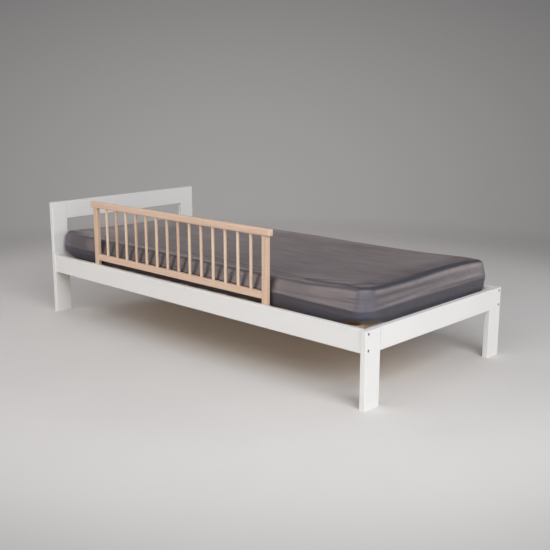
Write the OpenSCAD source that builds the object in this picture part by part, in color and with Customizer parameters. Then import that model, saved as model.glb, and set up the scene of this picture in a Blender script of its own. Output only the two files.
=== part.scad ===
// Junior single bed: two end frames joined by bolted side rails, a slatted base,
// a mattress in a fitted sheet, and a spindled guard rail that lifts off.
// Millimetres. +X runs to the foot end, +Y away from the guard rail, +Z up.
// The origin is on the floor, in the middle of the bed.

/* [Bed frame] */
// Overall length, over both end frames
bed_l = 2060; // [1900:10:2200]
// Overall width, over the posts
bed_w = 960; // [860:10:1100]
// Height of the head posts
head_h = 580; // [500:10:800]
// Height of the foot posts and of the top of the side rails
foot_h = 305; // [280:5:400]
// Thickness of the posts and end rails
post_t = 26; // [24:1:34]
// Width of the posts
post_w = 88; // [76:1:120]
// Height of all the rails
rail_h = 90; // [84:1:120]
// Thickness of the side rails
side_t = 24; // [22:1:30]
// How far the side rails stand in from the posts' outer edges
side_inset = 4; // [1:0.5:6]
// Radius on the long edges of the frame's boards
edge_r = 3; // [1:0.5:4]

/* [Slatted base] */
// Number of slats
slat_count = 15; // [8:1:15]
// Width of a slat
slat_w = 72; // [50:1:90]
// Thickness of a slat
slat_t = 17; // [14:1:22]
// Depth of the slats' top below the top of the side rails
slat_drop = 15; // [8:1:20]
// Thickness of the ledges under the slats' ends
ledge_t = 22; // [18:1:30]
// Height of the ledges
ledge_h = 30; // [26:1:40]

/* [Mattress] */
// Length over the sheet
mattress_l = 2000; // [1800:10:2000]
// Width over the sheet
mattress_w = 870; // [780:5:880]
// Height over the sheet
mattress_h = 140; // [100:5:180]
// Radius of the mattress's corners, seen from above
mattress_corner_r = 40; // [30:5:90]
// Radius of its edges, seen from the side
mattress_edge_r = 24; // [20:2:28]
// Thickness of the fitted sheet
sheet_t = 1.5; // [1:0.5:3]
// How far the sheet is tucked in under the mattress
sheet_tuck = 120; // [60:10:200]

/* [Guard rail] */
// Length over the guard's posts
guard_l = 1186; // [800:2:1300]
// Middle of the guard along the bed
guard_x = -88; // [-200:1:200]
// Height of the guard's top above the floor
guard_top = 614; // [560:1:680]
// Width of the guard's posts along the bed
guard_post_w = 29; // [24:1:40]
// Thickness of the guard's posts and bottom rail
guard_t = 20; // [18:1:22]
// Height of the guard's top rail
top_rail_h = 30; // [26:1:36]
// Thickness of the guard's top rail
top_rail_t = 28; // [24:1:32]
// Overhang of the top rail past each post
top_rail_over = 16; // [4:1:30]
// Height of the guard's bottom rail
bottom_rail_h = 30; // [28:1:40]
// Gap from the side rail's top up to the guard's bottom rail
bottom_rail_gap = 19; // [10:1:30]
// Number of spindles
spindle_count = 14; // [8:1:14]
// Diameter of a spindle
spindle_d = 13; // [10:1:14]
// Length of the arms that reach in under the mattress
arm_reach = 340; // [200:10:400]
// Width of an arm
arm_w = 20; // [18:1:24]
// Thickness of an arm
arm_t = 3; // [2:0.5:4]
// Height of the upright leg of an arm
arm_rise = 110; // [80:5:130]

/* [Hidden] */
$fn = 48;
fit = 0.05;   // radial play of a dowel, spindle or screw in its hole
loose = 0.4;  // least gap between pieces that part from each other
hidden_t = 0.3; // gap between the mattress and its sheet

inner_l = bed_l - 2 * post_t;
inner_y = bed_w / 2 - side_inset - side_t;  // inner face of a side rail
rail_mid_z = foot_h - rail_h / 2;
end_x = bed_l / 2 - post_t / 2;             // middle of an end frame's thickness

// Joint between a side rail and a post
bolt_pitch = 63;
bolt_y = bed_w / 2 - side_inset - side_t / 2;
bolt_d = 6;
bolt_head_d = 10;
bolt_head_h = 6;
bolt_sink = 7;     // depth of the counterbore that hides the head
bolt_l = 72;
nut_x = 42;        // barrel nut's distance into the rail
nut_d = 10;
nut_l = 14;
corner_dowel_d = 10;
corner_dowel_l = 36;

// Dowels of the end frames
frame_dowel_d = 8;
frame_dowel_l = 50;
frame_dowel_pitch = 50;

// Slatted base
slat_top = foot_h - slat_drop;
slat_l = 2 * inner_y - 4;
slat_end_gap = 75;
slat_step = (inner_l - 2 * slat_end_gap - slat_w) / (slat_count - 1);
ledge_l = inner_l - 20;
ledge_z = slat_top - slat_t - ledge_h / 2;
slat_screw_l = 34;
ledge_screw_l = 32;

// Guard rail: its outer face stands just inside the side rail
guard_y = -inner_y + 1 + guard_t / 2;
guard_foot_z = slat_top + 1;
guard_post_top = guard_top - top_rail_h;
guard_post_x = guard_l / 2 - guard_post_w / 2;
guard_inner_l = guard_l - 2 * guard_post_w;
bottom_rail_z = foot_h + bottom_rail_gap + bottom_rail_h / 2;
spindle_gap = (guard_inner_l - spindle_count * spindle_d) / (spindle_count + 1);
spindle_sink = 12;
spindle_z0 = bottom_rail_z + bottom_rail_h / 2 - spindle_sink;
spindle_z1 = guard_post_top + spindle_sink;
guard_dowel_d = 8;
guard_dowel_l = 36;
arm_y = guard_y + guard_t / 2;              // back face of the guard's posts
arm_z = slat_top + loose;
arm_screw_l = 16;
arm_screw_zs = [arm_z + 27, arm_z + 66, arm_z + 92];

// Mattress: clear of the arms, and a little off the middle to make room for the guard
mattress_y = arm_y + arm_t + 2 + mattress_w / 2;
mattress_z = arm_z + arm_t + loose;

SIDES = [-1, 1];
SLATS = [for (i = [1 : slat_count]) str("slat_", i)];
SPINDLES = [for (i = [1 : spindle_count]) str("guard_spindle_", i)];

function slat_x(i) = -inner_l / 2 + slat_end_gap + slat_w / 2 + (i - 1) * slat_step;
function spindle_x(i) = guard_x - guard_inner_l / 2 + spindle_gap + spindle_d / 2
    + (i - 1) * (spindle_gap + spindle_d);

// ---- Shapes used more than once ----

// Rectangle w by h about the origin, with its corners rounded to r
module round_rect(w, h, r) {
    square([w - 2 * r, h], center = true);
    square([w, h - 2 * r], center = true);
    for (x = SIDES, y = SIDES) translate([x * (w / 2 - r), y * (h / 2 - r)]) circle(r);
}

// Boards about their own centres, with their four long edges rounded
module board_z(x, y, z, r) translate([0, 0, -z / 2]) linear_extrude(z) round_rect(x, y, r);
module board_x(x, y, z, r) rotate([0, 90, 0]) board_z(z, y, x, r);
module board_y(x, y, z, r) rotate([90, 0, 0]) board_z(x, z, y, r);

// Block with every edge rounded: r_plan seen from above, r_side seen from the sides
module pillow(x, y, z, r_plan, r_side) intersection() {
    board_z(x, y, z, r_plan);
    board_y(x, y, z, r_side);
    board_x(x, y, z, r_side);
}

// Rod of diameter d and length l about the origin, along Z, X or Y
module rod_z(d, l) cylinder(d = d, h = l, center = true);
module rod_x(d, l) rotate([0, 90, 0]) rod_z(d, l);
module rod_y(d, l) rotate([90, 0, 0]) rod_z(d, l);

// Countersunk wood screw with its head's face at the origin, pointing down; grow is added all round
module wood_screw(l, d = 4, grow = 0) {
    head_d = 2 * d;
    head_h = d / 2;
    translate([0, 0, -head_h]) cylinder(d1 = d + 2 * grow, d2 = head_d + 2 * grow, h = head_h);
    translate([0, 0, -l + d]) cylinder(d = d + 2 * grow, h = l - d - head_h);
    translate([0, 0, -l - grow]) cylinder(d1 = 0.8, d2 = d + 2 * grow, h = d + grow);
}

// The same screw with a cross recess in its head
module cross_screw(l, d = 4) difference() {
    wood_screw(l, d);
    for (a = [0, 90]) rotate(a) cube([d * 0.9, 0.7, 2.4], center = true);
}

// ---- Places that several pieces share ----

// Children at the middle of each joint between a side rail and a post, with +X pointing
// out through the post: the rail's end is the plane X = 0
module at_corner(sx, sy)
    translate([sx * inner_l / 2, sy * bolt_y, rail_mid_z]) rotate(sx > 0 ? 0 : 180) children();

module at_bolts(sx, sy)
    at_corner(sx, sy) for (s = SIDES) translate([0, 0, s * bolt_pitch / 2]) children();

// Inside at_bolts: children on the bolt's line where its barrel nut sits, with +Z pointing into the bed
module at_nut(sx, sy) translate([-nut_x, 0, 0]) rotate([sx * sy * 90, 0, 0]) children();

// Children at each dowel between an end rail and its posts
module at_frame_dowels(sx, z)
    for (sy = SIDES, s = SIDES)
        translate([sx * end_x, sy * (bed_w / 2 - post_w), z + s * frame_dowel_pitch / 2])
            children();

module at_slat_screws(i)
    for (s = SIDES) translate([slat_x(i), s * (inner_y - ledge_t / 2), slat_top]) children();

// Children at each screw that holds a ledge, between two slats, with -Z pointing into the side rail
module at_ledge_screws(sy)
    for (s = SIDES, i = [1 : 2 : slat_count / 2])
        translate([s * (slat_x(i) + slat_step / 2), sy * (inner_y - ledge_t), ledge_z])
            rotate([sy * 90, 0, 0]) children();

// Children at each screw of an arm, with -Z pointing into the guard's post
module at_arm_screws(s)
    for (z = arm_screw_zs)
        translate([guard_x + s * guard_post_x, arm_y + arm_t, z]) rotate([-90, 0, 0]) children();

module at_guard_dowels(s) {
    for (dx = [-6, 6])
        translate([guard_x + s * guard_post_x + dx, guard_y, guard_post_top]) children();
    for (dz = [-7, 7])
        translate([guard_x + s * guard_inner_l / 2, guard_y, bottom_rail_z + dz])
            rotate([0, 90, 0]) children();
}

// ---- Bed frame ----

module post_bolt_holes(sx, sy) at_bolts(sx, sy) {
    translate([post_t / 2, 0, 0]) rod_x(bolt_d + 0.5, post_t + 2);
    translate([post_t, 0, 0]) rod_x(bolt_head_d + 1, 2 * bolt_sink);
}

module post(sx, sy, h, rail_zs) color("white") difference() {
    translate([sx * end_x, sy * (bed_w - post_w) / 2, h / 2]) board_z(post_t, post_w, h, edge_r);
    post_bolt_holes(sx, sy);
    at_corner(sx, sy) rod_x(corner_dowel_d + 2 * fit, corner_dowel_l + 1);
    for (z = rail_zs) at_frame_dowels(sx, z) rod_y(frame_dowel_d + 2 * fit, frame_dowel_l + 1);
}

module head_post(sy) post(-1, sy, head_h, [head_h - rail_h / 2, rail_mid_z]);
module foot_post(sy) post(1, sy, foot_h, [rail_mid_z]);

module end_rail(sx, z) color("white") difference() {
    translate([sx * end_x, 0, z]) board_y(post_t, bed_w - 2 * post_w, rail_h, edge_r);
    at_frame_dowels(sx, z) rod_y(frame_dowel_d + 2 * fit, frame_dowel_l + 1);
}

module side_rail(sy) color("white") difference() {
    translate([0, sy * bolt_y, rail_mid_z]) board_x(inner_l, side_t, rail_h, edge_r);
    for (sx = SIDES) {
        at_bolts(sx, sy) {
            translate([-bolt_l / 2 + 4, 0, 0]) rod_x(bolt_d + 1, bolt_l);
            // The barrel nut's hole opens only on the rail's inner face
            at_nut(sx, sy) translate([0, 0, -nut_l / 2 - 0.5])
                cylinder(d = nut_d + 2 * fit, h = nut_l / 2 + side_t / 2 + 1);
        }
        at_corner(sx, sy) rod_x(corner_dowel_d + 2 * fit, corner_dowel_l + 1);
    }
    at_ledge_screws(sy) wood_screw(ledge_screw_l, grow = fit);
}

module frame_dowels() color("burlywood") {
    for (z = [head_h - rail_h / 2, rail_mid_z])
        at_frame_dowels(-1, z) rod_y(frame_dowel_d, frame_dowel_l);
    at_frame_dowels(1, rail_mid_z) rod_y(frame_dowel_d, frame_dowel_l);
}

module corner_dowels() color("burlywood")
    for (sx = SIDES, sy = SIDES) at_corner(sx, sy) rod_x(corner_dowel_d, corner_dowel_l);

// Socket-head bolt with its head at the outer end, in the post's counterbore
module bolt() {
    seat = post_t - bolt_sink;
    difference() {
        translate([seat + bolt_head_h / 2, 0, 0]) rod_x(bolt_head_d, bolt_head_h);
        translate([seat + bolt_head_h, 0, 0]) rotate([0, 90, 0])
            cylinder(d = 5.6, h = 7, center = true, $fn = 6);
    }
    translate([seat - bolt_l / 2 + 0.01, 0, 0]) rod_x(bolt_d, bolt_l);
}

module frame_bolts() color("silver")
    for (sx = SIDES, sy = SIDES) at_bolts(sx, sy) bolt();

module barrel_nuts() color("silver")
    for (sx = SIDES, sy = SIDES) at_bolts(sx, sy) at_nut(sx, sy) difference() {
        rod_z(nut_d, nut_l);
        rod_x(bolt_d + 2 * fit, nut_d + 2);
        // Screwdriver slot
        translate([0, 0, nut_l / 2]) cube([nut_d + 1, 1.2, 3], center = true);
    }

// ---- Slatted base ----

module slat_ledge(sy) color("burlywood") difference() {
    translate([0, sy * (inner_y - ledge_t / 2), ledge_z]) board_x(ledge_l, ledge_t, ledge_h, 1.5);
    at_ledge_screws(sy) wood_screw(ledge_screw_l, grow = fit);
    for (i = [1 : slat_count]) at_slat_screws(i) wood_screw(slat_screw_l, grow = fit);
}

module slat(i) color("burlywood") difference() {
    translate([slat_x(i), 0, slat_top - slat_t / 2]) board_y(slat_w, slat_l, slat_t, 2.5);
    at_slat_screws(i) wood_screw(slat_screw_l, grow = fit);
}

module ledge_screws() color("silver")
    for (sy = SIDES) at_ledge_screws(sy) cross_screw(ledge_screw_l);

module slat_screws() color("silver")
    for (i = [1 : slat_count]) at_slat_screws(i) cross_screw(slat_screw_l);

// ---- Mattress and its fitted sheet ----

// The mattress's outer shape, taken in by gap all round
module mattress_form(gap) translate([0, mattress_y, mattress_z + mattress_h / 2])
    pillow(mattress_l - 2 * gap, mattress_w - 2 * gap, mattress_h - 2 * gap,
           mattress_corner_r - gap, mattress_edge_r - gap);

module mattress_core() color("whitesmoke") mattress_form(sheet_t + hidden_t);

// Open underneath, inside the tuck
module fitted_sheet() color("dimgray") difference() {
    mattress_form(0);
    mattress_form(sheet_t);
    translate([0, mattress_y, mattress_z])
        board_z(mattress_l - 2 * sheet_tuck, mattress_w - 2 * sheet_tuck, 20, 40);
}

// ---- Guard rail ----

module guard_top_rail() color("navajowhite") difference() {
    translate([guard_x, guard_y, guard_top - top_rail_h / 2])
        pillow(guard_l + 2 * top_rail_over, top_rail_t, top_rail_h, 7, 8);
    for (i = [1 : spindle_count]) spindle_at(i, spindle_d + 2 * fit, 0.5);
    for (s = SIDES) at_guard_dowels(s) rod_z(guard_dowel_d + 2 * fit, guard_dowel_l + 1);
}

module guard_bottom_rail() color("navajowhite") difference() {
    translate([guard_x, guard_y, bottom_rail_z])
        board_x(guard_inner_l, guard_t, bottom_rail_h, 2.5);
    for (i = [1 : spindle_count]) spindle_at(i, spindle_d + 2 * fit, 0.5);
    for (s = SIDES) at_guard_dowels(s) rod_z(guard_dowel_d + 2 * fit, guard_dowel_l + 1);
}

module guard_post(s) color("navajowhite") difference() {
    translate([guard_x + s * guard_post_x, guard_y, (guard_foot_z + guard_post_top) / 2])
        board_z(guard_post_w, guard_t, guard_post_top - guard_foot_z, 2.5);
    at_guard_dowels(s) rod_z(guard_dowel_d + 2 * fit, guard_dowel_l + 1);
    at_arm_screws(s) wood_screw(arm_screw_l, grow = fit);
}

module guard_dowels() color("burlywood")
    for (s = SIDES) at_guard_dowels(s) rod_z(guard_dowel_d, guard_dowel_l);

module spindle_at(i, d, extra = 0)
    translate([spindle_x(i), guard_y, (spindle_z0 + spindle_z1) / 2])
        rod_z(d, spindle_z1 - spindle_z0 + 2 * extra);

module guard_spindle(i) color("navajowhite") spindle_at(i, spindle_d);

// Flat steel angle: one leg is screwed to the post, the other lies under the mattress
module guard_arm(s) color("silver") difference() {
    translate([guard_x + s * guard_post_x, arm_y, arm_z]) {
        translate([-arm_w / 2, 0, 0]) cube([arm_w, arm_t, arm_rise - arm_w / 2]);
        translate([0, arm_t / 2, arm_rise - arm_w / 2]) rod_y(arm_w, arm_t);
        translate([-arm_w / 2, 0, 0]) cube([arm_w, arm_reach - arm_w / 2, arm_t]);
        translate([0, arm_reach - arm_w / 2, arm_t / 2]) rod_z(arm_w, arm_t);
    }
    at_arm_screws(s) wood_screw(arm_screw_l, grow = fit);
}

module guard_arm_screws() color("silver")
    for (s = SIDES) at_arm_screws(s) cross_screw(arm_screw_l);

head_post(-1);  // head_post_left
head_post(1);  // head_post_right
end_rail(-1, head_h - rail_h / 2);  // headboard_rail
end_rail(-1, rail_mid_z);  // head_cross_rail
foot_post(-1);  // foot_post_left
foot_post(1);  // foot_post_right
end_rail(1, rail_mid_z);  // foot_rail
side_rail(-1);  // side_rail_left
side_rail(1);  // side_rail_right
slat_ledge(-1);  // slat_ledge_left
slat_ledge(1);  // slat_ledge_right
frame_dowels();
corner_dowels();
frame_bolts();
barrel_nuts();
ledge_screws();
slat_screws();
for (i = [1 : slat_count]) slat(i);
mattress_core();
fitted_sheet();
guard_top_rail();
guard_bottom_rail();
guard_post(-1);  // guard_post_head
guard_post(1);  // guard_post_foot
guard_dowels();
guard_arm(-1);  // guard_arm_head
guard_arm(1);  // guard_arm_foot
guard_arm_screws();
for (i = [1 : spindle_count])
    guard_spindle(i);
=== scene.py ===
"""Looks of the junior bed: white painted frame, beech guard rail, mattress in a fitted sheet.

Everything is in metres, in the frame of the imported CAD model: +X runs to the foot end, +Y away
from the guard rail, +Z up, with the origin on the floor in the middle of the bed.
"""

import math
import random

import bpy
import numpy as np
from mathutils import Matrix, Vector, noise


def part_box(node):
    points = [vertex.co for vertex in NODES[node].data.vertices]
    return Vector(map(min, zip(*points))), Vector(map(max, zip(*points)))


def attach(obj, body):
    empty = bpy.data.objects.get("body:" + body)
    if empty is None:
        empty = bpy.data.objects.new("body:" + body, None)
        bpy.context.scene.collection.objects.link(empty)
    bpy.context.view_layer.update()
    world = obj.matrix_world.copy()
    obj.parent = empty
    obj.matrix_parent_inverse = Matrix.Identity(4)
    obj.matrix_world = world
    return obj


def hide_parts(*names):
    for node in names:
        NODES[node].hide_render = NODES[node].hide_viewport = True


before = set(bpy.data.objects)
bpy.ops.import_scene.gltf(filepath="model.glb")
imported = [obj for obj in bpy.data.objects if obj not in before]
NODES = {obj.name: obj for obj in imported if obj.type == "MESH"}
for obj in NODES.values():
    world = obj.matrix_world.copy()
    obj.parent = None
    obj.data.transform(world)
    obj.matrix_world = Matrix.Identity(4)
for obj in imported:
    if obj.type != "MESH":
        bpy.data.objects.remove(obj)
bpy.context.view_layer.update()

# ---- Soft goods: sizes ----
CELLS = (150, 66, 28)        # the mattress's grid of cells along X, Y and Z
EDGE_CROWDING = 0.35         # how much closer together the grid's lines are at the ends of a side
CORNER_RADII = {"head": 0.030, "foot": 0.055}  # the corners seen from above, over most of the height
# The same at the underside, on the guard's side and the far side
UNDER_RADII = {"head": (0.120, 0.090), "foot": (0.165, 0.060)}
TOP_RADIUS = 0.021
BOTTOM_RADIUS = 0.009
UPPER_LEAN = 0.014           # how far the sides fall back from their middle line up to the top
LOWER_LEAN = 0.007           # and down to the bottom
# How far the side swells out beyond the guard rail: head end, foot end
GUARD_BULGE = (0.006, 0.014)
CREASE = 0.43                # height of the sides' middle line, as a part of the mattress's height
FOOT_SHORT = 0.006           # how much the mattress stops short of its CAD solid at the foot end
# Height of the top over its CAD level at four places across, from the guard's side to the far side
ACROSS = (-1.0, -0.3, 0.6, 1.0)
LEVELS = {"head": (-0.003, -0.012, -0.017, -0.018), "middle": (-0.008, -0.010, -0.014, -0.015),
          "foot": (0.018, 0.009, 0.012, -0.003)}
FOOT_SLOPE = (0.150, 0.006)  # length and drop of the top's slope down to the foot edge
SAG = 0.0024                 # how much lower the underside lies beyond the guard rail's arms
SHEET_TUCK = 0.120           # width of the sheet's part under the mattress
SHEET_GAP = 0.003            # how far the mattress lies inside the sheet
SEAM_SHIFT = 0.014           # from each corner round to its seam, on the long side
SEAM_DEPTH = 0.0016
CREASE_HEIGHT = 0.0009
GATHER_LEVELS = (0.012, 0.128)  # the lowest and highest gather beside a corner seam
# Cloth simulation of the sheet: its length, and how far a point may move out, in and aside
CLOTH_FRAMES = 20
MOST_OUT, MOST_IN, MOST_ASIDE = 0.0011, 0.0007, 0.004


# ---- Meshes ----

def new_object(name, data):
    obj = bpy.data.objects.new(name, data)
    bpy.context.scene.collection.objects.link(obj)
    return obj


def new_mesh(name, points, faces, smooth=True):
    mesh = bpy.data.meshes.new(name)
    mesh.from_pydata([tuple(p) for p in points], [], [tuple(f) for f in faces])
    mesh.polygons.foreach_set("use_smooth", [smooth] * len(mesh.polygons))
    mesh.update()
    return mesh


def points_of(mesh):
    co = np.empty(len(mesh.vertices) * 3)
    mesh.vertices.foreach_get("co", co)
    return co.reshape(-1, 3)


def normals_of(mesh):
    directions = np.empty(len(mesh.vertices) * 3)
    mesh.vertex_normals.foreach_get("vector", directions)
    return directions.reshape(-1, 3)


def set_points(mesh, points):
    mesh.vertices.foreach_set("co", np.asarray(points, float).ravel())
    mesh.update()


def unit(vectors):
    length = np.linalg.norm(vectors, axis=-1, keepdims=True)
    return vectors / np.maximum(length, 1e-9)


def smoothstep(x, low, high):
    t = np.clip((x - low) / (high - low), 0, 1)
    return t * t * (3 - 2 * t)


def box_grid(nx, ny, nz, rim=None):
    """The surface of a box of nx by ny by nz cells: its grid points and its quads, facing out.
    With rim, the underside keeps only that many cells round its outline."""
    index, points, quads = {}, [], []

    def at(*key):
        if key not in index:
            index[key] = len(points)
            points.append(key)
        return index[key]

    for i in range(nx):
        for j in range(ny):
            quads.append((at(i, j, nz), at(i + 1, j, nz), at(i + 1, j + 1, nz), at(i, j + 1, nz)))
            if rim is None or min(i, j, nx - 1 - i, ny - 1 - j) < rim:
                quads.append((at(i, j, 0), at(i, j + 1, 0), at(i + 1, j + 1, 0), at(i + 1, j, 0)))
    for k in range(nz):
        for i in range(nx):
            quads.append((at(i, 0, k), at(i + 1, 0, k), at(i + 1, 0, k + 1), at(i, 0, k + 1)))
            quads.append((at(i + 1, ny, k), at(i, ny, k), at(i, ny, k + 1), at(i + 1, ny, k + 1)))
        for j in range(ny):
            quads.append((at(0, j + 1, k), at(0, j, k), at(0, j, k + 1), at(0, j + 1, k + 1)))
            quads.append((at(nx, j, k), at(nx, j + 1, k), at(nx, j + 1, k + 1), at(nx, j, k + 1)))
    return np.array(points, float), quads


def crowded(cell, count, half):
    """Places of grid lines over a side from -half to half, closer together at its ends."""
    u = 2 * cell / count - 1
    return half * (u + EDGE_CROWDING * np.sin(math.pi * u) / math.pi)


def top_level(x, y, half):
    """Height of the mattress's top over its CAD level at x, y from its middle."""
    across = y / half[1]
    head, middle, foot = (np.polyval(np.polyfit(ACROSS, LEVELS[end], 3), across)
                          for end in ("head", "middle", "foot"))
    along = x / half[0]
    to_head = 1 - smoothstep(along, -1.0, -0.4)
    to_foot = np.clip((along - 0.5) / 0.5, 0, 1) ** 1.6
    return middle + (head - middle) * to_head + (foot - middle) * to_foot


def guard_bulge(x, outward):
    """How far the guard's side swells out where the guard rail's posts don't hold it in."""
    guard_low, guard_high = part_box("guard_top_rail")
    past_head = smoothstep(guard_low[0] - x, 0.01, 0.10)
    past_foot = smoothstep(x - guard_high[0], 0.0, 0.24)
    return (GUARD_BULGE[0] * past_head + GUARD_BULGE[1] * past_foot) * np.clip(-outward[:, 1], 0, 1) ** 4


def mattress_points(grid, low, high, gap):
    """The grid's points laid on the mattress's shape inside the box low to high, taken in by gap."""
    high = high - (FOOT_SHORT, 0, 0)
    half = (high - low) / 2 - gap
    height = 2 * half[2]
    x = crowded(grid[:, 0], CELLS[0], half[0])
    y = crowded(grid[:, 1], CELLS[1], half[1])
    z = height * grid[:, 2] / CELLS[2]

    # In the plan: each ring of the grid becomes a rounded rectangle, rounder near the underside
    inset = np.minimum(half[0] - abs(x), half[1] - abs(y))
    above = np.where(x < 0, CORNER_RADII["head"], CORNER_RADII["foot"])
    below = np.where(x < 0, *(np.where(y < 0, *UNDER_RADII[end]) for end in ("head", "foot")))
    rounding = above + (below - above) * (1 - smoothstep(z / height, 0.0, 0.35)) ** 2
    radius = np.maximum(rounding - gap - inset, 0.004)
    core_x = np.clip(x, -(half[0] - inset - radius), half[0] - inset - radius)
    core_y = np.clip(y, -(half[1] - inset - radius), half[1] - inset - radius)
    outward = unit(np.stack([x - core_x, y - core_y], 1))
    x, y = core_x + radius * outward[:, 0], core_y + radius * outward[:, 1]

    # In the section: round the top and bottom edges
    top, bottom = TOP_RADIUS - gap, BOTTOM_RADIUS - gap
    r = np.where(z > height / 2, top, bottom)
    core = np.stack([np.maximum(inset, r), np.clip(z, bottom, height - top)], 1)
    away = np.stack([inset, z], 1) - core
    at_edge = (abs(away) > 1e-9).all(1)
    away = np.where(at_edge[:, None], unit(away) * r[:, None], away)
    new_inset, z = (core + away).T

    # The sides stand furthest out along their middle line, a soft crease
    part = z / height
    over_crease = np.clip((part - CREASE) / (1 - CREASE), 0, 1)
    under_crease = np.clip((CREASE - part) / CREASE, 0, 1)
    lean = (UPPER_LEAN * over_crease + LOWER_LEAN * under_crease
            - guard_bulge(x + (low + high)[0] / 2, outward))
    new_inset = new_inset + lean * (1 - smoothstep(inset, 0, 0.12))
    x, y = x - (new_inset - inset) * outward[:, 0], y - (new_inset - inset) * outward[:, 1]

    # The top's own level, and its slope down to the foot edge
    lift = smoothstep(z, (CREASE + 0.02) * height, height)
    reach, drop = FOOT_SLOPE
    slope = drop * (1 - smoothstep(half[0] - x, 0, reach)) ** 1.3
    z = z + lift * (top_level(x, y, half) - slope)
    centre = (low + high) / 2
    x, y = x + centre[0], y + centre[1]

    # The underside sags a little beyond the guard rail's arms
    arm_low, arm_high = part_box("guard_arm_head")[0][0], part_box("guard_arm_foot")[1][0]
    beyond = smoothstep(arm_low - x, 0.02, 0.10) + smoothstep(x - arm_high, 0.02, 0.10)
    z = z - SAG * beyond * (1 - smoothstep(z, 0, 0.3 * height))
    return np.stack([x, y, z + low[2] + gap], 1)


def add_cloth_uv(mesh, grid, quads, points):
    """UVs in metres along the cloth: X and Y on the top and underside, run and height on the sides."""
    layer = mesh.uv_layers.new(name="cloth")
    coords = np.empty((len(mesh.loops), 2))
    loop = 0
    for quad in quads:
        cells, places = grid[list(quad)], points[list(quad)]
        if np.ptp(cells[:, 2]) == 0:
            u, v = places[:, 0], places[:, 1]
        elif np.ptp(cells[:, 1]) == 0:
            u, v = places[:, 0], places[:, 2]
        else:
            u, v = places[:, 1], places[:, 2]
        coords[loop:loop + 4] = np.stack([u, v], 1)
        loop += 4
    layer.data.foreach_set("uv", coords.ravel())


def simulate(obj, pinned, shrink):
    """Runs Cloth on obj with a little air pressure and no gravity. pinned and shrink are lists of a
    weight and its points. Each point stays within MOST_OUT, MOST_IN and MOST_ASIDE of its start."""
    rest, normals = points_of(obj.data), normals_of(obj.data)
    pins = obj.vertex_groups.new(name="pinned")
    for weight, members in pinned:
        pins.add([int(i) for i in members], weight, "REPLACE")
    cloth = obj.modifiers.new("Cloth", "CLOTH")
    cloth.settings.quality = 6
    cloth.settings.mass = 0.3
    cloth.settings.tension_stiffness = 15
    cloth.settings.compression_stiffness = 12
    cloth.settings.shear_stiffness = 5
    cloth.settings.bending_stiffness = 0.3
    cloth.settings.use_pressure = True
    cloth.settings.uniform_pressure_force = 0.5
    cloth.settings.effector_weights.gravity = 0
    cloth.settings.vertex_group_mass = pins.name
    cloth.collision_settings.use_collision = False
    group = obj.vertex_groups.new(name="gathered")
    for weight, members in shrink:
        group.add([int(i) for i in members], weight, "REPLACE")
    cloth.settings.vertex_group_shrink = group.name
    cloth.settings.shrink_max = 0.3
    scene = bpy.context.scene
    for number in range(1, CLOTH_FRAMES + 1):
        scene.frame_set(number)
    moved = obj.evaluated_get(bpy.context.evaluated_depsgraph_get()).data
    shift = points_of(moved) - rest
    obj.modifiers.remove(cloth)
    obj.vertex_groups.clear()
    scene.frame_set(1)
    along = (shift * normals).sum(1, keepdims=True)
    aside = shift - along * normals
    aside *= np.minimum(1, MOST_ASIDE / np.maximum(np.linalg.norm(aside, axis=1, keepdims=True), 1e-9))
    along = np.where(along > 0, MOST_OUT * np.tanh(along / MOST_OUT), MOST_IN * np.tanh(along / MOST_IN))
    set_points(obj.data, rest + aside + along * normals)


def subdivide(obj):
    mod = obj.modifiers.new("Subdivision", "SUBSURF")
    mod.levels = mod.render_levels = 1
    graph = bpy.context.evaluated_depsgraph_get()
    mesh = bpy.data.meshes.new_from_object(obj.evaluated_get(graph))
    obj.modifiers.clear()
    obj.data = mesh


# ---- Mattress and fitted sheet ----

def make_mattress():
    """The mattress itself, padded, under the sheet."""
    low, high = map(np.array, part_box("mattress_core"))
    grid, quads = box_grid(*CELLS)
    obj = new_object("mattress", new_mesh("mattress", mattress_points(grid, low, high, SHEET_GAP), quads))
    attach(obj, "mattress")
    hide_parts("mattress_core")
    return obj


def corner_distance(points, low, high):
    """Each point's distance round the side from the nearest corner seam, and its bearing from it:
    -1 on the long sides and 1 on the ends."""
    centre = (low + high) / 2
    half = (high - low) / 2
    x, y = abs(points[:, 0] - centre[0]), abs(points[:, 1] - centre[1])
    run = (half[0] - x) - (half[1] - y) - SEAM_SHIFT
    return abs(run), np.where(run > 0, -1.0, 1.0)


def how_far_out(points, low, high):
    """Each point's distance outside the upright faces of the box low to high; inside it is negative."""
    centre, half = (low + high) / 2, (high - low) / 2
    return np.maximum(abs(points[:, 0] - centre[0]) - half[0], abs(points[:, 1] - centre[1]) - half[1])


def near_sides(points, low, high):
    """1 on the mattress's sides, falling to 0 a little way in over its top."""
    return smoothstep(how_far_out(points, low, high), -0.060, -0.042)


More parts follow.
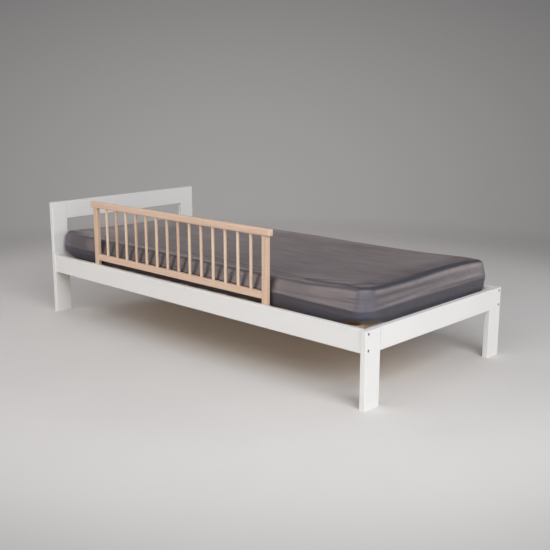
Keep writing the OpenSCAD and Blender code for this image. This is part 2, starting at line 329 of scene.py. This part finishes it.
def gathers(points, low, high, rng):
    """Short folds that run into the corner seams, where the elastic pulls the cloth together."""
    distance, bearing = corner_distance(points, low, high)
    z = points[:, 2] - low[2]
    depth = np.zeros(len(points))
    for corner_x in (-1, 1):
        for corner_y in (-1, 1):
            here = (np.sign(points[:, 0]) == corner_x) & (np.sign(points[:, 1]) == corner_y)
            for side in (-1, 1):
                level = GATHER_LEVELS[0]
                while level < GATHER_LEVELS[1]:
                    width = rng.uniform(0.0026, 0.0045)
                    length = rng.uniform(0.03, 0.085) * (1.0 if side < 0 else 0.6)
                    tilt = rng.uniform(-0.09, 0.09)
                    size = rng.uniform(0.0008, 0.0021) * (1.0 if side < 0 else 0.35)
                    line = level + tilt * distance
                    ridge = np.exp(-((z - line) / width) ** 2) * np.exp(-(distance / length) ** 2)
                    depth += size * ridge * (here & (bearing == side))
                    level += rng.uniform(0.007, 0.012)
    on_side = smoothstep(z, 0.004, 0.02) * (1 - smoothstep(z, 0.118, 0.134))
    return depth * on_side * near_sides(points, low, high)


def long_folds(points, low, high, rng):
    """Slack folds that run along the sides, most of them low down."""
    z = points[:, 2] - low[2]
    depth = np.zeros(len(points))
    for axis, across, count in ((0, 1, 26), (1, 0, 12)):
        for side in (-1, 1):
            centre = (low[across] + high[across]) / 2
            facing = smoothstep(side * (points[:, across] - centre), (high - low)[across] / 2 - 0.05,
                                (high - low)[across] / 2 - 0.012)
            for _ in range(count):
                middle = rng.uniform(low[axis] + 0.1, high[axis] - 0.1)
                length = rng.uniform(0.10, 0.32)
                level = rng.triangular(0.015, 0.115, 0.03)
                slope = rng.uniform(-0.05, 0.05)
                size = rng.uniform(-0.0015, 0.0018)
                width = rng.uniform(0.006, 0.012)
                run = points[:, axis] - middle
                ridge = np.exp(-(run / length) ** 2)
                depth += facing * size * ridge * np.exp(-((z - level - slope * run) / width) ** 2)
    return depth * smoothstep(z, 0.004, 0.02) * (1 - smoothstep(z, 0.105, 0.13))


def soft_waves(points):
    """Broad, shallow unevenness of the cloth over the top and sides."""
    depth = np.empty(len(points))
    for i, (x, y, z) in enumerate(points):
        broad = noise.noise(Vector((1.6 * x, 4.5 * y, 4 * z + 7)))
        fine = noise.noise(Vector((4.5 * x + 3, 17 * y, 20 * z)))
        depth[i] = 0.0018 * broad + 0.0006 * fine
    return depth


def top_creases(points, low, high, rng):
    """Faint creases drawn across the top from its long edges."""
    depth = np.zeros(len(points))
    top = smoothstep(points[:, 2], high[2] - 0.03, high[2] - 0.012)
    # Where each starts, its angle from +X, length, height and width; the first is near the guard rail
    starts = [((0.62, low[1] + 0.02), 0.34, 0.30, 0.0018, 0.010)]
    for _ in range(7):
        x = rng.uniform(low[0] + 0.1, high[0] - 0.1)
        side = rng.choice((-1, 1))
        y = low[1] + 0.02 if side < 0 else high[1] - 0.02
        starts.append(((x, y), -side * rng.uniform(0.2, 1.2), rng.uniform(0.1, 0.3),
                       rng.uniform(0.0005, 0.0010), 0.024))
    for (x, y), angle, length, size, width in starts:
        direction = np.array([math.cos(angle), math.sin(angle)])
        away = points[:, :2] - (x, y)
        run = away @ direction
        off = away @ np.array([-direction[1], direction[0]])
        spread = width * (1 + 5 * np.clip(run, 0, None))
        depth += size * np.exp(-(off / spread) ** 2) * smoothstep(run, -0.02, 0.05) * (
            1 - smoothstep(run, 0.3 * length, length))
    return depth * top


def seam_groove(points, low, high):
    """The corner seams draw the cloth in along a line."""
    distance, bearing = corner_distance(points, low, high)
    z = points[:, 2] - low[2]
    on_side = smoothstep(z, 0.0, 0.02) * (1 - smoothstep(z, 0.122, 0.138))
    groove = np.exp(-(distance / 0.006) ** 2)
    shoulder = np.exp(-((distance - 0.013) / 0.008) ** 2)
    return on_side * near_sides(points, low, high) * SEAM_DEPTH * (0.08 * shoulder - groove)


def side_crease(points, low, high):
    """The line along the middle of the sides where the stretched cloth turns in under the mattress."""
    over = points[:, 2] - low[2] - CREASE * (high[2] - low[2]) - 0.004
    on_side = smoothstep(how_far_out(points, low, high), -0.035, -0.022)
    return on_side * CREASE_HEIGHT * np.exp(-(over / 0.005) ** 2)


def make_sheet():
    """The fitted sheet: one cloth over the mattress, open underneath inside its tuck."""
    low, high = map(np.array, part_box("fitted_sheet"))
    half_y = (high[1] - low[1]) / 2
    lines = crowded(np.arange(CELLS[1] + 1), CELLS[1], half_y)
    rim = int(np.searchsorted(lines + half_y, SHEET_TUCK))
    grid, quads = box_grid(*CELLS, rim=rim)
    points = mattress_points(grid, low, high, 0.0)
    mesh = new_mesh("fitted_sheet_cloth", points, quads)
    add_cloth_uv(mesh, grid, quads, points)
    # Faces below the crease take the satin's shaded copy, painted shade for the sides' lower half
    crease_row = round(CREASE * CELLS[2])
    below_crease = [int(grid[list(quad), 2].max() <= crease_row) for quad in quads]
    mesh.polygons.foreach_set("material_index", below_crease)
    obj = new_object("fitted_sheet_cloth", mesh)

    i, j, k = grid.T
    from_x, from_y = np.minimum(i, CELLS[0] - i), np.minimum(j, CELLS[1] - j)
    below = np.flatnonzero(k == 0)
    seam = np.flatnonzero((from_x == 0) & (from_y == 0) & (k > 1) & (k < CELLS[2] - 1))
    beside = np.flatnonzero((from_y == 0) & (from_x > 0) & (from_x < 3) & (k > 1))
    sides = np.flatnonzero(((from_x == 0) | (from_y == 0)) & (k > 0) & (k < 0.85 * CELLS[2]))
    simulate(obj, pinned=[(1.0, below), (0.8, sides)], shrink=[(0.8, seam), (0.4, beside)])
    subdivide(obj)

    rng = random.Random(7)
    at = points_of(obj.data)
    depth = (gathers(at, low, high, rng) + long_folds(at, low, high, rng)
             + soft_waves(at) + top_creases(at, low, high, rng)
             + seam_groove(at, low, high) + side_crease(at, low, high))
    under = 1 - smoothstep(at[:, 2] - low[2], 0.0, 0.006)
    depth = np.where(under > 0.5, 0.0, depth)
    set_points(obj.data, at + normals_of(obj.data) * depth[:, None])
    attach(obj, "mattress")
    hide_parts("fitted_sheet")
    return obj


# ---- Materials ----

class Look:
    """A material being made: its shader, and short calls that add a node and return its output."""

    def __init__(self, name, **constants):
        self.material = bpy.data.materials.new(name)
        self.material.use_nodes = True
        self.tree = self.material.node_tree
        self.tree.nodes.clear()
        self.shader = self.tree.nodes.new("ShaderNodeBsdfPrincipled")
        output = self.tree.nodes.new("ShaderNodeOutputMaterial")
        self.tree.links.new(self.shader.outputs[0], output.inputs[0])
        for socket, value in constants.items():
            self.shader.inputs[socket.replace("_", " ")].default_value = value

    def plug(self, socket, value):
        if isinstance(value, bpy.types.NodeSocket):
            self.tree.links.new(value, socket)
        elif value is not None:
            socket.default_value = value

    def put(self, kind, inputs, output=0, **settings):
        node = self.tree.nodes.new("ShaderNode" + kind)
        for key, value in settings.items():
            setattr(node, key, value)
        for key, value in inputs.items():
            self.plug(node.inputs[key], value)
        return node.outputs[output]

    def place(self, scale=(1, 1, 1), source="Object"):
        at = self.put("TexCoord", {}, source)
        return self.put("Mapping", {"Vector": at, "Scale": scale})

    def noise(self, at, scale=1.0, detail=4.0, roughness=0.5, distortion=0.0):
        return self.put("TexNoise", {"Vector": at, "Scale": scale, "Detail": detail,
                                     "Roughness": roughness, "Distortion": distortion})

    def spread(self, value, low, high, to_low=0.0, to_high=1.0):
        """value, with low to high stretched over to_low to to_high and cut off outside."""
        return self.put("MapRange", {"Value": value, "From Min": low, "From Max": high,
                                     "To Min": to_low, "To Max": to_high},
                        interpolation_type="SMOOTHSTEP")

    def math(self, operation, a, b=0.0):
        return self.put("Math", {0: a, 1: b}, operation=operation)

    def axis(self, vector, number):
        return self.put("SeparateXYZ", {"Vector": vector}, number)

    def mix(self, factor, a, b):
        return self.put("Mix", {0: factor, 6: a, 7: b}, 2, data_type="RGBA")

    def bump(self, height, distance, strength=1.0, normal=None):
        return self.put("Bump", {"Height": height, "Distance": distance, "Strength": strength,
                                 "Normal": normal})

    def finish(self, color, roughness=None, normal=None):
        self.plug(self.shader.inputs["Base Color"], color)
        self.plug(self.shader.inputs["Roughness"], roughness)
        self.plug(self.shader.inputs["Normal"], normal)
        return self.material


def rgb(r, g, b):
    return (r, g, b, 1.0)


def stretched(axis, along, across):
    """A texture scale for grain that runs along an axis."""
    return tuple(along if a == axis else across for a in "XYZ")


def painted(name, axis):
    """White furniture paint over planed wood: the grain shows through as a faint relief."""
    look = Look(name, Specular_IOR_Level=0.42)
    at = look.place()
    cloudy = look.noise(at, 2.3, 3)
    color = look.mix(cloudy, rgb(0.80, 0.792, 0.778), rgb(0.845, 0.838, 0.826))
    grain = look.noise(look.place(stretched(axis, 3, 130)), 1, 5, 0.6, 0.4)
    color = look.mix(look.spread(grain, 0.58, 0.8, 0, 0.22), color, rgb(0.74, 0.725, 0.70))
    peel = look.noise(at, 900, 2)
    roughness = look.spread(look.noise(at, 14, 3), 0.3, 0.7, 0.36, 0.47)
    normal = look.bump(grain, 0.00022, 0.5)
    normal = look.bump(peel, 0.00006, 0.5, normal)
    return look.finish(color, roughness, normal)


def beech(name, axis, light, dark):
    """Oiled beech: close straight grain with short dark flecks."""
    look = Look(name, Specular_IOR_Level=0.38)
    streaks = look.noise(look.place(stretched(axis, 3.2, 120)), 1, 6, 0.62, 0.5)
    bands = look.noise(look.place(stretched(axis, 1.1, 24)), 1, 3, 0.5, 0.8)
    flecks = look.noise(look.place(stretched(axis, 90, 900)), 1, 2, 0.5)
    color = look.mix(look.spread(streaks, 0.28, 0.74), light, dark)
    color = look.mix(look.spread(bands, 0.35, 0.7, 0, 0.35), color, dark)
    fleck = look.spread(flecks, 0.60, 0.70, 0, 0.32)
    color = look.mix(fleck, color, rgb(*(0.55 * c for c in dark[:3])))
    roughness = look.spread(streaks, 0.3, 0.7, 0.44, 0.58)
    normal = look.bump(streaks, 0.0002, 0.45)
    return look.finish(color, roughness, normal)


def pine(name, axis):
    """Bare planed pine: wide soft growth bands, and a knot here and there."""
    look = Look(name, Roughness=0.62, Specular_IOR_Level=0.3)
    at = look.place(stretched(axis, 1.6, 26))
    wander = look.noise(at, 1, 4, 0.55, 1.2)
    rings = look.put("TexWave", {"Vector": look.place(stretched(axis, 0.9, 30)), "Scale": 1.4,
                                 "Distortion": 5.0, "Detail": 3.0, "Detail Scale": 0.7}, 1)
    color = look.mix(look.spread(wander, 0.3, 0.7), rgb(0.72, 0.54, 0.33), rgb(0.60, 0.41, 0.22))
    color = look.mix(look.spread(rings, 0.45, 0.95, 0, 0.4), color, rgb(0.50, 0.31, 0.15))
    knots = look.put("TexVoronoi", {"Vector": look.place(stretched(axis, 3.0, 8.0)), "Scale": 1.0})
    color = look.mix(look.spread(knots, 0.055, 0.11, 0.8, 0), color, rgb(0.20, 0.09, 0.035))
    normal = look.bump(rings, 0.00025, 0.4)
    return look.finish(color, None, normal)


def steel(name, tone, roughness):
    look = Look(name, Metallic=1.0)
    at = look.place()
    smudge = look.noise(at, 60, 4, 0.6)
    scratch = look.noise(look.place((40, 900, 900)), 1, 2)
    color = look.mix(smudge, rgb(*(0.8 * c for c in tone)), rgb(*tone))
    rough = look.spread(smudge, 0.3, 0.7, roughness - 0.08, roughness + 0.1)
    return look.finish(color, rough, look.bump(scratch, 0.00004, 0.5))


QUILT_PITCH = 0.12


def ticking():
    """The mattress's cover: off-white knit, quilted in diamonds, with painted shade along the quilting
    grooves.
    """
    look = Look("mattress_cover", Roughness=0.9, Specular_IOR_Level=0.2, Sheen_Weight=0.2)
    at = look.place()
    x = look.axis(at, 0)
    both = []
    for sign in (1, -1):
        y = look.math("MULTIPLY", look.axis(at, 1), sign)
        run = look.math("MULTIPLY", look.math("ADD", x, y), 2 * math.pi / QUILT_PITCH)
        both.append(look.math("ABSOLUTE", look.math("SINE", run)))
    quilt = look.spread(look.math("MINIMUM", *both), 0.0, 0.55)
    knit = look.noise(at, 1400, 2)
    color = look.mix(look.noise(at, 5, 3), rgb(0.78, 0.76, 0.71), rgb(0.70, 0.68, 0.63))
    # Painted shade: darker along the quilting lines, where the bump sinks the cover in
    color = look.mix(look.spread(quilt, 0, 0.2, 0.35, 0), color, rgb(0.45, 0.43, 0.40))
    normal = look.bump(quilt, 0.003, 0.6)
    return look.finish(color, None, look.bump(knit, 0.0002, 0.5, normal))


def sheet_fabric(name, specular, dark, light):
    """Dark grey cotton satin: a fine close weave with a soft warm shine. Round each corner it is rougher
    and painted a lighter, bluish tone, a painted reflection of the dim surroundings the corner faces."""
    look = Look(name, IOR=1.75, Specular_IOR_Level=specular, Specular_Tint=rgb(1.0, 0.84, 0.80),
                Sheen_Weight=0.05, Sheen_Roughness=0.5, Sheen_Tint=rgb(1.0, 0.76, 0.66))
    at = look.place()
    weave = look.math("ADD", *(look.noise(look.place(scale, "UV"), 1, 2, 0.5)
                               for scale in ((1500, 160, 1), (160, 1500, 1))))
    cloudy = look.noise(at, 3.0, 4, 0.55)
    color = look.mix(look.spread(weave, 0.75, 1.25), dark, light)
    color = look.mix(look.spread(cloudy, 0.3, 0.7, 0, 0.3), color, rgb(0.052, 0.051, 0.064))

    # Painted reflection: a lighter, bluish tone in a band round each corner, which reaches a little
    # further round along the ends than the sides; the band is also rougher
    low, high = map(np.array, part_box("fitted_sheet"))

    def from_end(axis):
        off_centre = look.math("SUBTRACT", look.axis(at, axis), (low + high)[axis] / 2)
        return look.math("SUBTRACT", (high - low)[axis] / 2, look.math("ABSOLUTE", off_centre))

    from_corner = look.math("ADD", look.math("MULTIPLY", from_end(0), 1.5), from_end(1))
    gathered = look.spread(from_corner, 0.050, 0.100, 1, 0)
    # The painted reflection: a lighter, bluish tone in the corner band
    color = look.mix(look.math("MULTIPLY", gathered, 0.8), color, rgb(0.075, 0.081, 0.118))

    crumple = look.noise(look.place((7, 24, 30)), 1, 5, 0.62, 0.6)
    twill = look.put("TexWave", {"Vector": look.place(source="UV"), "Scale": 330.0, "Distortion": 0.4},
                     bands_direction="DIAGONAL")
    roughness = look.math("ADD", look.spread(crumple, 0.3, 0.7, 0.38, 0.46),
                          look.math("MULTIPLY", gathered, 0.36))
    normal = look.bump(crumple, 0.0016, 0.35)
    normal = look.bump(twill, 0.00012, 0.35, normal)
    return look.finish(color, roughness, look.bump(weave, 0.00015, 0.4, normal))


def dress_sheet(sheet):
    """Two copies of the satin on one cloth: above the crease round the sides it shines, and below it a
    shaded copy with less shine gives painted shade to the sides' lower half.
    """
    slots = sheet.data.materials
    slots.append(sheet_fabric("sheet_satin", 1.0, rgb(0.028, 0.032, 0.048), rgb(0.046, 0.050, 0.068)))
    # The shaded copy: a lower specular level, painted shade below the crease
    slots.append(sheet_fabric("sheet_satin_below", 0.42, rgb(0.034, 0.039, 0.058),
                              rgb(0.044, 0.049, 0.069)))


def dress(nodes, material):
    """Gives CAD nodes a material in place of their own."""
    for name in nodes:
        slots = NODES[name].data.materials
        slots.clear()
        slots.append(material)


def dress_frame():
    dress(["side_rail_left", "side_rail_right"], painted("white_paint_x", "X"))
    dress(["headboard_rail", "head_cross_rail", "foot_rail"], painted("white_paint_y", "Y"))
    dress(["head_post_left", "head_post_right", "foot_post_left", "foot_post_right"],
          painted("white_paint_z", "Z"))
    slats = [n for n in NODES if n.startswith("slat_") and n[5:].isdigit()]
    dress(slats, pine("pine_y", "Y"))
    dress(["slat_ledge_left", "slat_ledge_right"], pine("pine_x", "X"))
    dress(["frame_dowels", "corner_dowels", "guard_dowels"],
          beech("dowel_wood", "Y", rgb(0.62, 0.47, 0.31), rgb(0.50, 0.35, 0.21)))
    dress(["frame_bolts", "barrel_nuts", "ledge_screws", "slat_screws"],
          steel("zinc_steel", (0.30, 0.31, 0.34), 0.36))
    dress(["guard_arm_head", "guard_arm_foot", "guard_arm_screws"],
          steel("arm_steel", (0.45, 0.45, 0.46), 0.45))


# Tones of the guard's spindles, from the head end: c is cream, t is tan, m is between them
SPINDLE_TONES = "ctctmcmtcmcccc"
BEECH_TONES = {
    "c": (rgb(0.86, 0.69, 0.52), rgb(0.74, 0.55, 0.39)),
    "m": (rgb(0.80, 0.61, 0.46), rgb(0.68, 0.48, 0.34)),
    "t": (rgb(0.74, 0.53, 0.39), rgb(0.60, 0.40, 0.27)),
}


def dress_guard():
    rails = beech("beech_rails", "X", rgb(0.80, 0.60, 0.46), rgb(0.70, 0.49, 0.36))
    posts = beech("beech_posts", "Z", rgb(0.78, 0.57, 0.43), rgb(0.66, 0.45, 0.32))
    dress(["guard_top_rail", "guard_bottom_rail"], rails)
    dress(["guard_post_head", "guard_post_foot"], posts)
    turned = {tone: beech("beech_spindle_" + tone, "Z", *pair) for tone, pair in BEECH_TONES.items()}
    for number, tone in enumerate(SPINDLE_TONES, 1):
        dress([f"guard_spindle_{number}"], turned[tone])


# ---- Stage, light and camera ----

# Colours of the surroundings: overhead, at floor level, and in the pool of light on the backdrop
CEILING = (0.062, 0.062, 0.076)
WALL = (0.130, 0.128, 0.128)
WALL_POOL = (0.345, 0.333, 0.325)
POOL = (-0.71, 0.69, -0.13)      # the way to the pool's middle
POOL_SCALE = (1.35, 1.35, 2.2)   # one over the pool's reach along each axis
LIGHT_DISTANCE = 4.6
# Each light's name, azimuth from +X and elevation in degrees, size, power and colour
LIGHTS = (
    ("left_front", -115, 12, (3.0, 2.0), 50, (1.0, 0.95, 0.91)),
    ("front", -90, 42, (2.4, 1.8), 24, (1.0, 1.0, 1.0)),
    ("beside_camera", -61, 35, (2.6, 2.2), 24, (1.0, 1.0, 1.0)),
    ("low_fill", -45, 9, (4.0, 1.4), 14, (1.0, 0.96, 0.92)),
    ("right_front", -20, 30, (2.8, 2.4), 124, (0.98, 0.99, 1.0)),
    ("right_back", 52, 11, (3.0, 2.0), 40, (1.0, 0.97, 0.95)),
    ("far_low", 134, 11, (4.0, 1.2), 13, (1.0, 0.88, 0.84)),
    ("high_back", 178, 42, (3.4, 2.2), 38, (1.0, 0.97, 0.95)),
)


def make_floor():
    """A wide pale floor that fades into the background beyond the bed. Its colour holds painted shade,
    darker away from a point beside the bed, and painted bounce light, warmer under the bed.
    """
    size = 14.0
    mesh = new_mesh("floor", [(-size, -size, 0), (size, -size, 0), (size, size, 0), (-size, size, 0)],
                    [(0, 1, 2, 3)], smooth=False)
    floor = new_object("floor", mesh)
    look = Look("floor", Roughness=0.75, Specular_IOR_Level=0.25)
    at = look.place()
    cloudy = look.noise(at, 1.6, 6, 0.6)
    far = look.put("VectorMath", {0: at}, 1, operation="LENGTH")
    color = look.mix(cloudy, rgb(0.70, 0.685, 0.67), rgb(0.76, 0.745, 0.73))

    # Painted shade: darker away from a point beside the bed, standing in for the lights' falloff. Painted
    # bounce light: warmer under its slats, standing in for light thrown down from the wood
    painted_light_centre = look.put("Mapping", {"Vector": at, "Location": (0.35, -0.35, 0)})
    from_painted_light_centre = look.put("VectorMath", {0: painted_light_centre}, 1, operation="LENGTH")
    color = look.mix(look.spread(from_painted_light_centre, 1.8, 3.2, 0, 0.72), color, rgb(0.25, 0.245, 0.24))
    # Painted bounce light: a warm tint on the floor under the bed's slats
    under = look.put("VectorMath", {0: look.place((0.95, 1.9, 1))}, 1, operation="LENGTH")
    color = look.mix(look.spread(under, 0.45, 1.05, 0.6, 0), color, rgb(0.68, 0.58, 0.48))
    look.finish(color, None, look.bump(look.noise(at, 60, 4), 0.0004, 0.3))
    clear = look.tree.nodes.new("ShaderNodeBsdfTransparent")
    blend = look.put("MixShader", {0: look.spread(far, 1.7, 3.8), 1: look.shader.outputs[0],
                                   2: clear.outputs[0]})
    output = next(n for n in look.tree.nodes if n.type == "OUTPUT_MATERIAL")
    look.tree.links.new(blend, output.inputs[0])
    floor.data.materials.append(look.material)


def make_background():
    """A dim studio, with a soft pool of light on the backdrop behind the far side of the bed."""
    world = bpy.data.worlds.new("studio")
    bpy.context.scene.world = world
    world.use_nodes = True
    tree = world.node_tree
    shade = tree.nodes["Background"]

    def put(kind, inputs, **settings):
        node = tree.nodes.new("ShaderNode" + kind)
        for key, value in settings.items():
            setattr(node, key, value)
        for key, value in inputs.items():
            if isinstance(value, bpy.types.NodeSocket):
                tree.links.new(value, node.inputs[key])
            else:
                node.inputs[key].default_value = value
        return node

    way = put("TexCoord", {}).outputs["Generated"]
    away = put("Mapping", {"Vector": way, "Location": tuple(-p * s for p, s in zip(POOL, POOL_SCALE)),
                           "Scale": POOL_SCALE}).outputs[0]
    far = put("VectorMath", {0: away}, operation="LENGTH").outputs["Value"]
    pool = put("MapRange", {"Value": far, "From Min": 0.0, "From Max": 1.0, "To Min": 1.0, "To Max": 0.0},
               interpolation_type="SMOOTHSTEP").outputs[0]
    height = put("SeparateXYZ", {"Vector": way}).outputs["Z"]
    raised = put("MapRange", {"Value": height, "From Min": -0.05, "From Max": 0.35},
                 interpolation_type="SMOOTHSTEP").outputs[0]
    room = put("Mix", {0: raised, 6: rgb(*WALL), 7: rgb(*CEILING)}, data_type="RGBA").outputs[2]
    tone = put("Mix", {0: pool, 6: room, 7: rgb(*WALL_POOL)}, data_type="RGBA").outputs[2]
    tree.links.new(tone, shade.inputs["Color"])
    shade.inputs["Strength"].default_value = 1.0


def area_light(name, place, target, size, power, color):
    data = bpy.data.lights.new(name, "AREA")
    data.shape = "RECTANGLE"
    data.size, data.size_y = size
    data.energy = power
    data.color = color
    light = new_object(name, data)
    light.location = place
    light.rotation_euler = (Vector(target) - Vector(place)).to_track_quat("-Z", "Y").to_euler()
    light.visible_camera = False
    return light


def make_lights():
    """Soft boxes round the bed, turned to its middle."""
    centre = Vector((0, 0, 0.3))
    for name, azimuth, elevation, size, power, color in LIGHTS:
        turn, rise = math.radians(azimuth), math.radians(elevation)
        way = Vector((math.cos(rise) * math.cos(turn), math.cos(rise) * math.sin(turn), math.sin(rise)))
        area_light(name, centre + LIGHT_DISTANCE * way, centre, size, power, color)


def make_camera():
    """The camera near the foot corner on the guard's side: its place, heading from -X, pitch and roll."""
    place = Vector((2.840, -2.878, 1.1856))
    heading, pitch, roll = (math.radians(a) for a in (44.93, 12.386, -0.300))
    forward = Vector((-math.cos(pitch) * math.cos(heading), math.cos(pitch) * math.sin(heading),
                      -math.sin(pitch)))
    right = forward.cross(Vector((0, 0, 1))).normalized()
    up = right.cross(forward)
    level = Matrix((right, up, -forward)).transposed()
    data = bpy.data.cameras.new("camera")
    data.sensor_width = 36.0
    data.lens = 56.34
    data.shift_x, data.shift_y = 0.0467, -0.0079
    camera = new_object("camera", data)
    camera.matrix_world = Matrix.Translation(place) @ (level @ Matrix.Rotation(roll, 3, "Z")).to_4x4()
    bpy.context.scene.camera = camera


bpy.context.scene.view_settings.view_transform = "Standard"
make_camera()
make_floor()
make_background()
make_lights()
dress_frame()
dress_guard()
mattress = make_mattress()
mattress.data.materials.append(ticking())
sheet = make_sheet()
dress_sheet(sheet)
